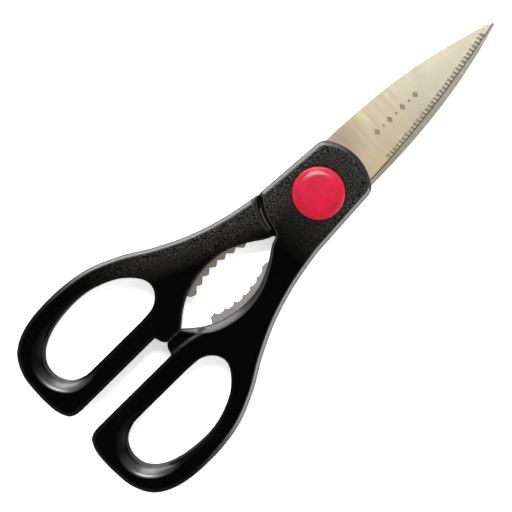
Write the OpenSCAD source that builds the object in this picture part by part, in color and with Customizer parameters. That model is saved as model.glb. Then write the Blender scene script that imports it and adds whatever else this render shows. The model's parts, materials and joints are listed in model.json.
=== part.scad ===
// Poultry shears: two stamped steel blades with moulded handles, joined by one pivot bolt.
// Both halves use the same handle moulding. The front half lies above the mating plane of the
// blades, and the rear half is the same half turned over about the long axis. Only the blades'
// spines, tips, teeth and edges differ.
// Design frame: pivot axis at x = 0 and y = 0, blade tip towards +X, mating plane at z = 0.
// row_frame() then moves everything so that the origin is under the middle of the whole object.

/* [Blades] */
// Distance from the pivot axis to the tip
blade_reach = 91.5; // [88:0.5:95]
// Distance of the front blade's spine from the centre line where it leaves the collar
front_spine_offset = 12.2; // [11.9:0.1:12.4]
// Distance of the rear blade's spine from the centre line where it leaves the collar
rear_spine_offset = 11.8; // [11.6:0.1:12.2]
// Distance of the cutting edges from the centre line where the blades leave the collar
edge_offset = 10.2; // [9.8:0.1:10.4]
// Height of the front blade's tip above the centre line, on the spine's side
front_tip_y = -0.1; // [-0.3:0.1:0.3]
// Height of the rear blade's tip above the centre line, on the spine's side
rear_tip_y = 0.8; // [0.6:0.1:1.2]
// Width of a blunted tip
tip_blunt = 0.9; // [0.6:0.1:1]
// Thickness of the blade steel
blade_t = 2; // [1.8:0.1:2.2]
// Width of the ground bevel beside the cutting edge
bevel_w = 0.6; // [0.5:0.1:1]
// Thickness left at the cutting edge
edge_land = 0.3; // [0.2:0.05:0.5]
// Number of flutes ground across the front blade's cutting edge
flute_count = 34; // [20:1:34]
// Distance between two flutes along the blade
flute_pitch = 1.71; // [1.65:0.01:1.72]
// Distance that a flute reaches from the cutting edge
flute_reach = 2.4; // [1.8:0.1:2.6]
// Radius of a flute's floor
flute_r = 0.44; // [0.4:0.02:0.6]

/* [Cracker jaws] */
// Number of teeth on each jaw
tooth_count = 7; // [5:1:7]
// Distance between two teeth
tooth_pitch = 4.15; // [3.9:0.05:4.3]
// Height of a tooth on the front jaw
front_tooth_h = 1.2; // [0.6:0.1:1.3]
// Height of a tooth on the rear jaw
rear_tooth_h = 1.5; // [1:0.1:1.7]
// Distance of the front jaw's middle tooth tip from the centre line
front_tooth_y = 6.7; // [6.6:0.1:7.2]
// Distance of the rear jaw's middle tooth tip from the centre line
rear_tooth_y = 7.4; // [7:0.1:7.6]

/* [Handles] */
// Distance from the pivot axis to the palm end
palm_reach = 126; // [124:0.5:129]
// Half of the width over both finger loops
loop_half_w = 42.3; // [41:0.1:44]
// Total thickness of a handle
handle_t = 13; // [12.6:0.1:14]
// Width of the chamfer round a handle's faces
handle_chamfer = 1.2; // [0.8:0.1:1.4]
// Half of the slot between the two finger loops when the shears are closed
bar_y = 4.4; // [4:0.1:4.8]
// Thickness of the tabs that stop the handles when the shears close
stop_t = 10.6; // [9:0.1:11]
// Gap left between the two stop tabs
stop_gap = 0.1; // [0.05:0.05:0.3]

/* [Collar] */
// Radius of the collar's end beside the blade
collar_tip_r = 19.8; // [19.4:0.1:20.2]
// Radius of the collar's edge beside the other handle
collar_back_r = 22; // [21.6:0.1:22.2]
// Radius of the handle's shoulder that runs round the other half's collar
shoulder_r = 22.35; // [22.3:0.05:22.6]
// Gap between the collar's inner face and the mating plane
collar_gap = 0.15; // [0.1:0.05:0.3]

/* [Pivot] */
// Diameter of the bolt's shank, on which the rear blade turns
shank_d = 6; // [5:0.5:7]
// Radial clearance of the rear blade on the shank
running_clearance = 0.05; // [0.02:0.01:0.09]
// Diameter of the coloured caps
cap_d = 19.8; // [19:0.1:20]
// Height of the front cap above the collar
cap_rise = 1.5; // [1:0.1:2]

/* [Hidden] */
$fn = 64;

// Values that differ between the blades, for the front blade (b = 0) and the rear blade (b = 1)
spine_offset = [front_spine_offset, rear_spine_offset];
tip_y = [front_tip_y, rear_tip_y];
tooth_h = [front_tooth_h, rear_tooth_h];
tooth_y = [front_tooth_y, rear_tooth_y];
jaw_fall = [0.0165, 0.0146];            // how fast the line of tooth tips bends

half_t = handle_t / 2;
blade_gap = 0.05;                       // from the mating plane to a blade's inner face
blade_top = blade_gap + blade_t;        // from the mating plane to a blade's outer face
palm_x = -palm_reach;
blade_start = 20;                       // where the blade's curves begin
blade_len = blade_reach - blade_start;
stop_y = stop_gap / 2;

// Pivot recess in each collar
chamber_r = 7.6;                        // room for the bolt head or the nut
cap_seat_r = cap_d / 2 + 0.1;
cap_seat_z = half_t - 1.3;              // floor of the seat under a cap's rim

// Bolt, washers and nut, measured away from the mating plane
head_r = 5.5;
head_h = 1.8;
head_slot_w = 1.2;
head_slot_h = 0.8;
neck_flat = 2.5;                        // half of the width across the keyed neck's flats
thread_r = 2.5;
washer_r = 5.5;
washer_bore_r = shank_d / 2 + 0.05;
washer_z = blade_top + 0.05;
washer_t = 0.5;
spring_z = washer_z + washer_t;
spring_t = 0.35;
spring_h = 0.65;
nut_z = spring_z + spring_h;
nut_h = 1.8;
nut_across_flats = 8;
bolt_end = nut_z + nut_h + 0.15;

// Caps
cap_skirt_r = chamber_r - 0.05;
cap_skirt_inner_r = 6.4;
cap_skirt_h = 1.5;
cap_wall = 1;
cap_crown_w = 4.3;                      // width of the rounding round the front cap's top

// Knots of one handle's outline, on the +Y side. The curves run smoothly through them.
outer_knots = [
    [-16, 15.4], [-30, 18], [-44, 22.3], [-57, 28.4], [-69, 35.4], [-82, 40.5],
    [palm_x + 29, loop_half_w], [palm_x + 15, loop_half_w - 1.2],
    [palm_x + 5.8, loop_half_w - 5.5], [palm_x + 1.2, loop_half_w - 13],
    [palm_x, 20], [palm_x + 0.3, 11.5], [palm_x + 1.9, 6.7], [palm_x + 3.7, 5.05],
    [palm_x + 5.8, 4.45], [palm_x + 8, bar_y]
];
jaw_knots = [
    [-71.8, stop_y], [-66, 4.7], [-60, 7.9], [-53, 9.7], [-46, 10.1],
    [-39, 9], [-32, 5.8], [-26, 1.9], [-24, 0.9]
];
hole_knots = [
    [palm_x + 23, 12.3], [palm_x + 17, 12.6], [palm_x + 12, 14.6], [palm_x + 9.3, 18.2],
    [palm_x + 8.5, 22.5], [palm_x + 9.7, 27], [palm_x + 14, 31.2], [palm_x + 21.5, 34], [-94, 35.1],
    [-85, 34], [-76, 30.2], [-70, 25], [-67.8, 20.3], [-69.2, 16], [-73.4, 13], [-80, 12.3]
];
stop_knots = [[-80.4, bar_y + 0.3], [-80.2, 3], [-79.6, 1.4], [-78.4, stop_y]];
// Edge of the shallow step that thins the stop tab and runs out along the jaw
step_knots = [[-83, 4.3], [-76, 4.5], [-72, 5], [-68, 6], [-64, 7.6], [-58, 10]];
handle_root = [[-6, 0.9], [-6, 14.8]];  // hidden under the collar
collar_corners = [[-18, -15.6], [15.4, -13.4], [22, -9], [22, 9], [15.4, 13.4], [-18, 15.6]];
collar_corner_r = 2;

// Knots of a blade's tang and of its waist beside the jaw, which lie on the -Y side
heel = [-4, -10.6];                     // end of the cutting edge, hidden under the collar
tang_knots = [
    [-16, -10.9], [-28, -12.4], [-40, -15], [-52, -18.3], [-60, -19.4], [-63.2, -16], [-62.8, -8.8]
];
function waist_knots(b) = [
    [-29.2, -5.9], [-24, -3.6], [-16, -1.5], [-12, 4.5], [-6, 10], [4, spine_offset[b]]
];
key_hole_points = [[-36, -11], [-54, -14.5]];
key_hole_r = 2;                         // holes that the handle's plastic fills

// A smooth curve (Catmull-Rom) through the knots, with the given number of steps between two.
function knot(k, i) = k[max(0, min(len(k) - 1, i))];
function blend(a, b, c, d, t) =
    0.5 * (2 * b + (c - a) * t + (2 * a - 5 * b + 4 * c - d) * t * t + (3 * b - a - 3 * c + d) * t * t * t);
function curve(k, steps) = concat(
    [for (i = [0 : len(k) - 2], s = [0 : steps - 1])
        blend(knot(k, i - 1), knot(k, i), knot(k, i + 1), knot(k, i + 2), s / steps)],
    [k[len(k) - 1]]
);

// Blade curves: distance of the spine and of the cutting edge from the centre line,
// for u from 0 at the collar to 1 at the tip.
function blade_x(u) = blade_start + blade_len * u;
spine_slope = 1.9;
spine_power = 2.35;
edge_slope = 3.6;
function spine_y(u, b) = spine_offset[b] - spine_slope * u
    - (spine_offset[b] - spine_slope - tip_y[b] - tip_blunt / 2) * pow(u, spine_power);
function edge_y(u, b) = -edge_offset + edge_slope * u
    + (edge_offset - edge_slope + tip_y[b] - tip_blunt / 2) * u * u;
blade_steps = 32;

// Line through the tips of the cracker teeth, which bends towards the centre line at both ends.
jaw_mid_x = -46.1;
function tooth_tip_y(x, b) = tooth_y[b] - jaw_fall[b] * pow(x - jaw_mid_x, 2);

module row_frame() {
    translate([(palm_reach - blade_reach) / 2, 0, half_t]) children();
}

module front_side() {
    row_frame() children();
}

module rear_side() {
    row_frame() rotate([180, 0, 0]) children();
}

// One handle and its finger loop, on the +Y side.
module handle_outline() {
    difference() {
        polygon(concat(
            handle_root,
            curve(outer_knots, 5),
            curve(stop_knots, 3),
            curve(jaw_knots, 5)
        ));
        polygon(curve(hole_knots, 5));
    }
}

// The collar round the pivot, seen along the pivot axis.
module collar_outline() {
    intersection() {
        union() {
            intersection() {
                circle(collar_back_r);
                translate([-2 * collar_back_r, -collar_back_r]) square(2 * collar_back_r);
            }
            circle(collar_tip_r);
        }
        offset(r = collar_corner_r) offset(delta = -collar_corner_r) polygon(collar_corners);
    }
}

module chamfered(height, chamfer) {
    minkowski() {
        linear_extrude(height - 2 * chamfer, center = true) offset(delta = -chamfer) children();
        union() {
            cylinder(r1 = chamfer, r2 = 0, h = chamfer, $fn = 12);
            mirror([0, 0, 1]) cylinder(r1 = chamfer, r2 = 0, h = chamfer, $fn = 12);
        }
    }
}

// The steel of one blade with its tang, seen along the pivot axis. The tang lies on the -Y side.
module blade_outline(b) {
    polygon(concat(
        [for (i = [0 : blade_steps]) let (u = i / blade_steps) [blade_x(u), spine_y(u, b)]],
        [for (i = [blade_steps : -1 : 0]) let (u = i / blade_steps) [blade_x(u), edge_y(u, b)]],
        [heel],
        curve(tang_knots, 4),
        tooth_points(b),
        curve(waist_knots(b), 4)
    ));
}

// The toothed edge, from the palm end to the pivot end, on the -Y side.
function tooth_points(b) = [
    for (i = [0 : tooth_count - 1])
        let (tip_x = jaw_mid_x + (i - (tooth_count - 1) / 2) * tooth_pitch)
        for (p = [[-0.5, 1], [-0.08, 0], [0.08, 0]])
            let (x = tip_x + p.x * tooth_pitch) [x, -tooth_tip_y(x, b) - p.y * tooth_h[b]]
];

// Removes the steel above the ground bevel of the cutting edge.
module bevel_cutter(b) {
    slope = (blade_t - edge_land) / bevel_w;
    over = 1;
    sections = [
        for (i = [0 : blade_steps + 1])
            let (u = i / blade_steps, x = blade_x(u), y = edge_y(min(u, 1), b))
            [
                [x, y - over, blade_gap + edge_land - over * slope],
                [x, y + bevel_w + over, blade_top + over * slope],
                [x, y - over, blade_top + over * slope]
            ]
    ];
    count = len(sections);
    polyhedron(
        points = [for (s = sections, p = s) p],
        faces = concat(
            [[0, 1, 2], [3 * count - 1, 3 * count - 2, 3 * count - 3]],
            [for (i = [0 : count - 2], k = [0 : 2], second = [0, 1])
                let (a = 3 * i + k, b = 3 * i + (k + 1) % 3)
                second == 0 ? [a, a + 3, b] : [b, a + 3, b + 3]]
        )
    );
}

// The flutes of the serrated edge, each a round-bottomed groove that runs down to the edge.
module flutes() {
    first_x = 28.5;
    slope_angle = atan((blade_t - edge_land) / flute_reach);
    for (i = [0 : flute_count - 1]) {
        x = first_x + i * flute_pitch;
        u = (x - blade_start) / blade_len;
        lean = atan2(edge_y(u + 0.01, 0) - edge_y(u, 0), 0.01 * blade_len);
        translate([x, edge_y(u, 0), blade_gap + edge_land])
            rotate([0, 0, lean])
                rotate([90 + slope_angle, 0, 0])
                    linear_extrude(4 * flute_reach, center = true) {
                        translate([0, flute_r]) circle(flute_r, $fn = 24);
                        translate([-flute_r, flute_r]) square([2 * flute_r, 2 * blade_t]);
                    }
    }
}

module key_holes() {
    for (p = key_hole_points)
        translate([p.x, p.y, 0]) cylinder(r = key_hole_r, h = 4 * blade_t, center = true);
}

module blade_blank(b) {
    difference() {
        translate([0, 0, blade_gap]) linear_extrude(blade_t) blade_outline(b);
        key_holes();
    }
}

// Round neck with two flats, which keeps the bolt from turning in the front blade.
module neck(grow, height) {
    intersection() {
        cylinder(r = shank_d / 2 + grow, h = height);
        translate([-shank_d, -neck_flat - grow, 0]) cube([2 * shank_d, 2 * (neck_flat + grow), height]);
    }
}

// The thinner area round the stop tab, seen along the pivot axis, on the +Y side.
module step_outline() {
    points = curve(step_knots, 4);
    below = stop_y - 1;
    polygon(concat(points, [[points[len(points) - 1].x, below], [points[0].x, below]]));
}

// A handle moulded round its blade's tang, with the collar on the same side as the blade.
module handle(b) {
    difference() {
        chamfered(handle_t, handle_chamfer) {
            mirror([0, 1]) handle_outline();
            collar_outline();
        }
        translate([0, 0, -half_t - 1]) cylinder(r = shoulder_r, h = half_t + 1 + collar_gap, $fn = 128);
        translate([0, 0, cap_seat_z]) cylinder(r = cap_seat_r, h = half_t);
        cylinder(r = chamber_r, h = half_t);
        for (side = [0, 1]) mirror([0, 0, side])
            translate([0, 0, stop_t / 2]) linear_extrude(half_t) mirror([0, 1]) step_outline();
        blade_blank(b);
    }
}

module front_handle() {
    color("black") front_side() handle(0);
}

module rear_handle() {
    color("black") rear_side() handle(1);
}

module front_blade() {
    color("tan") front_side() difference() {
        blade_blank(0);
        bevel_cutter(0);
        flutes();
        neck(0.02, half_t);
    }
}

module rear_blade() {
    color("tan") rear_side() difference() {
        blade_blank(1);
        bevel_cutter(1);
        cylinder(r = shank_d / 2 + running_clearance, h = half_t);
    }
}

module pivot_bolt() {
    color("silver") rear_side() {
        difference() {
            translate([0, 0, -blade_top - head_h]) cylinder(r = head_r, h = head_h);
            translate([-head_r - 1, -head_slot_w / 2, -blade_top - head_h - 1])
                cube([2 * head_r + 2, head_slot_w, head_slot_h + 1]);
        }
        translate([0, 0, -blade_top]) neck(0, blade_top);
        cylinder(r = shank_d / 2, h = spring_z + 0.2);
        cylinder(r = thread_r, h = bolt_end);
    }
}

module ring(outer, inner, height) {
    difference() {
        cylinder(r = outer, h = height);
        translate([0, 0, -1]) cylinder(r = inner, h = height + 2);
    }
}

module flat_washer() {
    color("silver") rear_side() translate([0, 0, washer_z]) ring(washer_r, washer_bore_r, washer_t);
}

// A conical disc spring that keeps the blades pressed together.
module spring_washer() {
    color("silver") rear_side() translate([0, 0, spring_z]) rotate_extrude()
        polygon([
            [washer_bore_r, spring_h - spring_t], [washer_r, 0],
            [washer_r, spring_t], [washer_bore_r, spring_h]
        ]);
}

module pivot_nut() {
    color("silver") rear_side() translate([0, 0, nut_z]) difference() {
        cylinder(d = nut_across_flats / cos(30), h = nut_h, $fn = 6);
        translate([0, 0, -1]) cylinder(r = thread_r, h = nut_h + 2);
    }
}

// A snap-in cap: a rim that fills the collar's seat and a skirt that grips the recess below it.
module cap(rise) {
    top = half_t + rise;
    rim = rise > 0
        ? [for (a = [90 : -10 : 0]) [cap_d / 2 - cap_crown_w * (1 - cos(a)), half_t + rise * sin(a)]]
        : [[cap_d / 2, half_t]];
    rotate_extrude() polygon(concat(
        [[0, top - cap_wall], [0, top]],
        rim,
        [
            [cap_d / 2, cap_seat_z], [cap_skirt_r, cap_seat_z], [cap_skirt_r, cap_seat_z - cap_skirt_h],
            [cap_skirt_inner_r, cap_seat_z - cap_skirt_h], [cap_skirt_inner_r, top - cap_wall]
        ]
    ));
}

module front_cap() {
    color("crimson") front_side() cap(cap_rise);
}

module rear_cap() {
    color("crimson") rear_side() cap(0);
}

front_handle();
rear_handle();
front_blade();
rear_blade();
pivot_bolt();
flat_washer();
spring_washer();
pivot_nut();
front_cap();
rear_cap();
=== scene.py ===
import json
import math

import bmesh
import bpy
import numpy as np
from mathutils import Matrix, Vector
from mathutils.geometry import delaunay_2d_cdt
from mathutils.kdtree import KDTree


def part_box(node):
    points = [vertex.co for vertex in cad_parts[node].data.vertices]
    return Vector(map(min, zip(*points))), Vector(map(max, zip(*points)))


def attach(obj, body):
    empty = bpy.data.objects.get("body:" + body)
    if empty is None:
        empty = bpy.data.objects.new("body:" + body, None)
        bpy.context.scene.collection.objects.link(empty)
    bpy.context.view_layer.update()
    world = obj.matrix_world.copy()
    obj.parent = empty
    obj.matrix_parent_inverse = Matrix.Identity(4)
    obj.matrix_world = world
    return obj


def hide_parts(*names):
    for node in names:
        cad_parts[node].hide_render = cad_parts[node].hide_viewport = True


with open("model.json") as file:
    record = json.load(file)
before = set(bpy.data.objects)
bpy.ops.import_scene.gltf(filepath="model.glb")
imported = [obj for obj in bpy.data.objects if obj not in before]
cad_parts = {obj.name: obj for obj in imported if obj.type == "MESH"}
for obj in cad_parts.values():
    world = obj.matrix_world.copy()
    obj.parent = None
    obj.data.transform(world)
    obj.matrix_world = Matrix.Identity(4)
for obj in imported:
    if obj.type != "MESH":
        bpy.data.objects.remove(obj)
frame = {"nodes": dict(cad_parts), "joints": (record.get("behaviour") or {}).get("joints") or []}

# Shapes are drawn in millimetres about the pivot axis, with the blade tip towards +X, the mating
# plane of the blades at z = 0, and the handle on the +Y side. Solid.make() then puts a shape in
# the shared frame: the front half is the drawing mirrored in Y, and the rear half mirrored in Z.
MM = 0.001
FRONT, REAR = "front_half", "rear_half"
PIVOT = Vector(frame["joints"][0]["pos_m"])
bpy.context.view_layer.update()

# Sizes shared with the frame, in millimetres. The handle's curves swing a little past their knots,
# so the two sizes that knots are placed by are rounded and kept a hair inside the frame's box.
HALF_T = 1000 * (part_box("rear_handle")[1].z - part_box("rear_handle")[0].z) / 2
PALM_X = round(2000 * (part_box("front_handle")[0].x - PIVOT.x)) / 2 + 0.02
TIP_X = 1000 * (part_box("front_blade")[1].x - PIVOT.x)
LOOP_HALF_W = round(1000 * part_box("rear_handle")[1].y, 1) - 0.02
BLADE_TOP = 1000 * (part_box("front_blade")[1].z - PIVOT.z)
BLADE_GAP = 1000 * (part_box("front_blade")[0].z - PIVOT.z)
BLADE_T = BLADE_TOP - BLADE_GAP
CAP_R = 500 * (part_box("front_cap")[1].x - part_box("front_cap")[0].x)
CAP_TOP = 1000 * (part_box("front_cap")[1].z - PIVOT.z)
CAP_SEAT_Z = HALF_T - 1.3
CHAMBER_R = 7.6
SHOULDER_R = 22.35
SHOULDER_CLEAR = 0.25       # what both faces share starts this far outside the shoulder's circle
COLLAR_BACK_R = 22.0
COLLAR_TIP_R = 19.8
COLLAR_Z = 0.15
BAR_Y = 4.4
STOP_Y = 0.01
STOP_HALF_T = 5.3


# ---------------------------------------------------------------- outlines

PROFILE_BLEND = 1.6     # how far to each side one edge profile runs into the next


def curve(knots, spacing=0.7):
    """A smooth curve (Catmull-Rom) through the knots, as an array of points about a spacing apart."""
    k = np.array([knots[0], *knots, knots[-1]], float)
    points = []
    for a, b, c, d in zip(k, k[1:], k[2:], k[3:]):
        steps = max(2, int(np.linalg.norm(c - b) / spacing))
        for t in np.arange(steps) / steps:
            points.append(0.5 * (2 * b + (c - a) * t + (2 * a - 5 * b + 4 * c - d) * t**2
                                 + (3 * b - a - 3 * c + d) * t**3))
    return np.array(points + [k[-1]])


def line(start, end, spacing=0.7):
    start, end = np.array(start, float), np.array(end, float)
    steps = max(1, int(np.linalg.norm(end - start) / spacing))
    return start + (end - start) * np.linspace(0, 1, steps + 1)[:, None]


def arc(radius, start_deg, end_deg, spacing=0.7):
    steps = max(2, int(abs(math.radians(end_deg - start_deg)) * radius / spacing))
    a = np.radians(np.linspace(start_deg, end_deg, steps + 1))
    return radius * np.stack([np.cos(a), np.sin(a)], 1)


def bend(start, corner, end, steps=6):
    """A rounded corner."""
    p, c, q = (np.array(v, float) for v in (start, corner, end))
    t = np.linspace(0, 1, steps + 1)[:, None]
    return p * (1 - t)**2 + 2 * c * t * (1 - t) + q * t**2


def even_loop(stretches, spacing):
    """Joins stretches of (points, values) into one closed loop of evenly spaced points."""
    xy = np.vstack([points for points, _ in stretches])
    values = np.vstack([np.broadcast_to(v, (len(points), np.shape(v)[-1])) if np.ndim(v) == 1 else v
                        for points, v in stretches])
    keep = np.linalg.norm(xy - np.roll(xy, 1, 0), axis=1) > 1e-4
    xy, values = xy[keep], values[keep]
    closed = np.vstack([xy, xy[:1]])
    along = np.concatenate([[0], np.cumsum(np.linalg.norm(np.diff(closed, axis=0), axis=1))])
    count = int(along[-1] / spacing)
    at = np.arange(count) * along[-1] / count
    out = np.stack([np.interp(at, along, closed[:, i]) for i in (0, 1)], 1)
    ring_values = np.vstack([values, values[:1]])
    smooth = np.stack([np.interp(at, along, ring_values[:, i]) for i in range(values.shape[1])], 1)
    reach = int(PROFILE_BLEND / spacing)
    smooth = sum(np.roll(smooth, s, 0) for s in range(-reach, reach + 1)) / (2 * reach + 1)
    return out, smooth


def area(loop):
    x, y = loop[:, 0], loop[:, 1]
    return 0.5 * np.sum(x * np.roll(y, -1) - y * np.roll(x, -1))


def inward(loop):
    """Unit normals of a counter-clockwise closed loop, pointing into the material that it bounds."""
    ahead, behind = np.roll(loop, -1, 0), np.roll(loop, 1, 0)
    tangent = ahead - behind
    normal = np.stack([-tangent[:, 1], tangent[:, 0]], 1)
    normal = normal + 0.5 * (np.roll(normal, 1, 0) + np.roll(normal, -1, 0))
    return normal / np.linalg.norm(normal, axis=1)[:, None]


def inset_limit(loop, normals):
    """How far each point may move inwards before the loop folds over itself at a tight corner.

    At a corner that is most of its radius, and it rises by 0.2 a point over the next ten points."""
    turn = np.roll(normals, -1, 0) - np.roll(normals, 1, 0)
    step = np.linalg.norm(np.roll(loop, -1, 0) - np.roll(loop, 1, 0), axis=1)
    tangent = (np.roll(loop, -1, 0) - np.roll(loop, 1, 0)) / step[:, None]
    curvature = -np.sum(turn * tangent, 1) / step
    limit = np.where(curvature > 1e-3, 0.8 / np.maximum(curvature, 1e-3) - 0.35, 99)
    limit = np.maximum(limit, 0.02)
    for _ in range(10):
        limit = np.minimum(limit, np.minimum(np.roll(limit, 1), np.roll(limit, -1)) + 0.2)
    return limit


# ---------------------------------------------------------------- edge profiles
# A profile is RINGS pairs of (inset, drop): how far a ring lies inside the outline, and how far
# below the face.
RINGS = 9


def chamfer(width, depth, soft=0.22):
    length = math.hypot(width, depth)
    ux, uy = soft * width / length, soft * depth / length
    low = bend((0, depth + soft), (0, depth), (ux, depth - uy), 3)
    high = bend((width - ux, uy), (width, 0), (width + soft, 0), 3)
    return np.vstack([low, high, [[width + soft + 0.15, 0]]]).ravel()


def rounded(width, depth):
    a = np.linspace(0, math.pi / 2, RINGS - 1)
    ring = np.stack([width * (1 - np.cos(a)), depth * (1 - np.sin(a))], 1)
    return np.vstack([ring, [[width + 0.2, 0]]]).ravel()


def worn_away(width, depth):
    """A broad slope that eases into the face, where hands have rubbed the edge down."""
    t = np.linspace(0, 1, RINGS - 1)
    ring = np.stack([width * t, depth * (1 - t)**1.6], 1)
    return np.vstack([ring, [[width + 0.2, 0]]]).ravel()


def stepped():
    """The collar's edge beside the other handle: a steep chamfer above a narrow ledge."""
    return np.array([(0, 2.3), (0.05, 2.08), (0.15, 2.0), (0.42, 1.95), (0.55, 1.75),
                     (1.25, 0.25), (1.4, 0.05), (1.6, 0), (1.75, 0)]).ravel()


def shoulder_step():
    """The shoulder's edge round the other collar: a low ledge, then a wall with a soft top."""
    return np.array([(0, 3.6), (0.1, 3.5), (1.2, 3.4), (1.32, 3.2), (1.4, 2.2), (1.45, 0.5),
                     (1.55, 0.2), (1.8, 0.03), (2.0, 0)]).ravel()


# ---------------------------------------------------------------- the handle's outlines

OUTER_KNOTS = [
    (-16, 15.4), (-30, 18), (-44, 22.3), (-57, 28.4), (-69, 35.4), (-82, 40.5),
    (PALM_X + 29, LOOP_HALF_W), (PALM_X + 15, LOOP_HALF_W - 1.2),
    (PALM_X + 5.8, LOOP_HALF_W - 5.5), (PALM_X + 1.2, LOOP_HALF_W - 13),
    (PALM_X, 20), (PALM_X + 0.3, 11.5), (PALM_X + 1.9, 6.7), (PALM_X + 3.7, 5.05),
    (PALM_X + 5.8, BAR_Y + 0.05), (PALM_X + 8, BAR_Y),
]
JAW_KNOTS = [
    (-71.8, STOP_Y), (-66, 4.7), (-60, 7.9), (-53, 9.7), (-46, 10.1),
    (-39, 9), (-32, 5.8), (-26, 1.9), (-24, 0.9),
]
HOLE_KNOTS = [
    (PALM_X + 23, 12.3), (PALM_X + 17, 12.6), (PALM_X + 12, 14.6), (PALM_X + 9.3, 18.2),
    (PALM_X + 8.5, 22.5), (PALM_X + 9.7, 27), (PALM_X + 14, 31.2), (PALM_X + 21.5, 34), (-94, 35.1),
    (-85, 34), (-76, 30.2), (-70, 25), (-67.8, 20.3), (-69.2, 16), (-73.4, 13), (-80, 12.3),
]
STEP_KNOTS = [(-83, 4.3), (-76, 4.5), (-72, 5), (-68, 6), (-64, 7.6), (-58, 10)]
STOP_KNOTS = [(-80.4, BAR_Y + 0.3), (-80.2, 3), (-79.6, 1.4), (-78.4, STOP_Y)]
LOOP_SPACING = 0.6


def jaw_profiles(points):
    """The bevel beside the jaws is widest at the palm end and dies out towards the pivot."""
    spans = [(-72, 0.3), (-70, 0.9), (-66, 1.9), (-60, 2.4), (-52, 2.3), (-44, 1.7), (-36, 1.0), (-24, 0.5)]
    x, w = zip(*spans)
    widths = np.interp(points[:, 0], x, w)
    return np.array([chamfer(width, 0.6 * width, 0.2) for width in widths])


def hole_profiles(points):
    """The finger loop's edge is rounded, and rubbed down at the palm end."""
    spans = [(PALM_X + 8, 4.2), (PALM_X + 13, 3.6), (PALM_X + 24, 1.4), (-74, 1.0), (-67, 0.8)]
    x, w = zip(*spans)
    widths = np.interp(points[:, 0], x, w)
    wear = np.interp(points[:, 0], (PALM_X + 15, PALM_X + 24), (1, 0))
    return np.array([t * worn_away(width, 0.5 * width) + (1 - t) * rounded(width, min(2.8, 1.1 * width))
                     for width, t in zip(widths, wear)])


def grip_stretches(jaw_bevel):
    """The part of the outline that both faces of a handle share, from the outer side to the throat."""
    outer = curve(OUTER_KNOTS)
    outer_edge = np.array([chamfer(1.4, 0.9) if x > -96 else rounded(1.5, 1.6) for x in outer[:, 0]])
    jaw = curve(JAW_KNOTS)
    stop = curve(STOP_KNOTS)
    return [
        (outer, outer_edge),
        (line((PALM_X + 8, BAR_Y), (-81.2, BAR_Y)), rounded(1.1, 1.2)),
        (bend((-81.2, BAR_Y), (-80.4, BAR_Y), (-80.3, BAR_Y - 0.8), 3), rounded(0.5, 0.5)),
        (stop[3:], chamfer(0.35, 0.35, 0.1)),
        (line((-78.4, STOP_Y), (-71.8, STOP_Y)), chamfer(0.3, 0.3, 0.1)),
        (jaw, jaw_profiles(jaw) if jaw_bevel else chamfer(0.4, 0.4)),
    ]


def collar_stretches():
    """The rest of the upper outline: round the collar, from the throat back to the outer side."""
    plain = chamfer(1.5, 0.95)
    return [
        (bend((-24, 0.9), (-22.2, 0.7), (-22, -1), 5), chamfer(0.5, 0.5)),
        (arc(COLLAR_BACK_R, 184, 220), stepped()),
        (bend((-16.9, -14.2), (-16, -15.4), (-14.4, -15.35)), plain),
        (line((-14.4, -15.35), (12.9, -13.5)), plain),
        (bend((12.9, -13.5), (14.6, -13.3), (15.7, -12.1)), plain),
        (arc(COLLAR_TIP_R, -37.6, 37.6), plain),
        (bend((15.7, 12.1), (14.6, 13.3), (12.9, 13.5)), plain),
        (line((12.9, 13.5), (-16, 15.4)), plain),
    ]


# ---------------------------------------------------------------- meshes

HANDLE_SHARP_DEG, BLADE_SHARP_DEG, TURNED_SHARP_DEG = 38, 25, 40    # creases above these stay sharp


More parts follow.
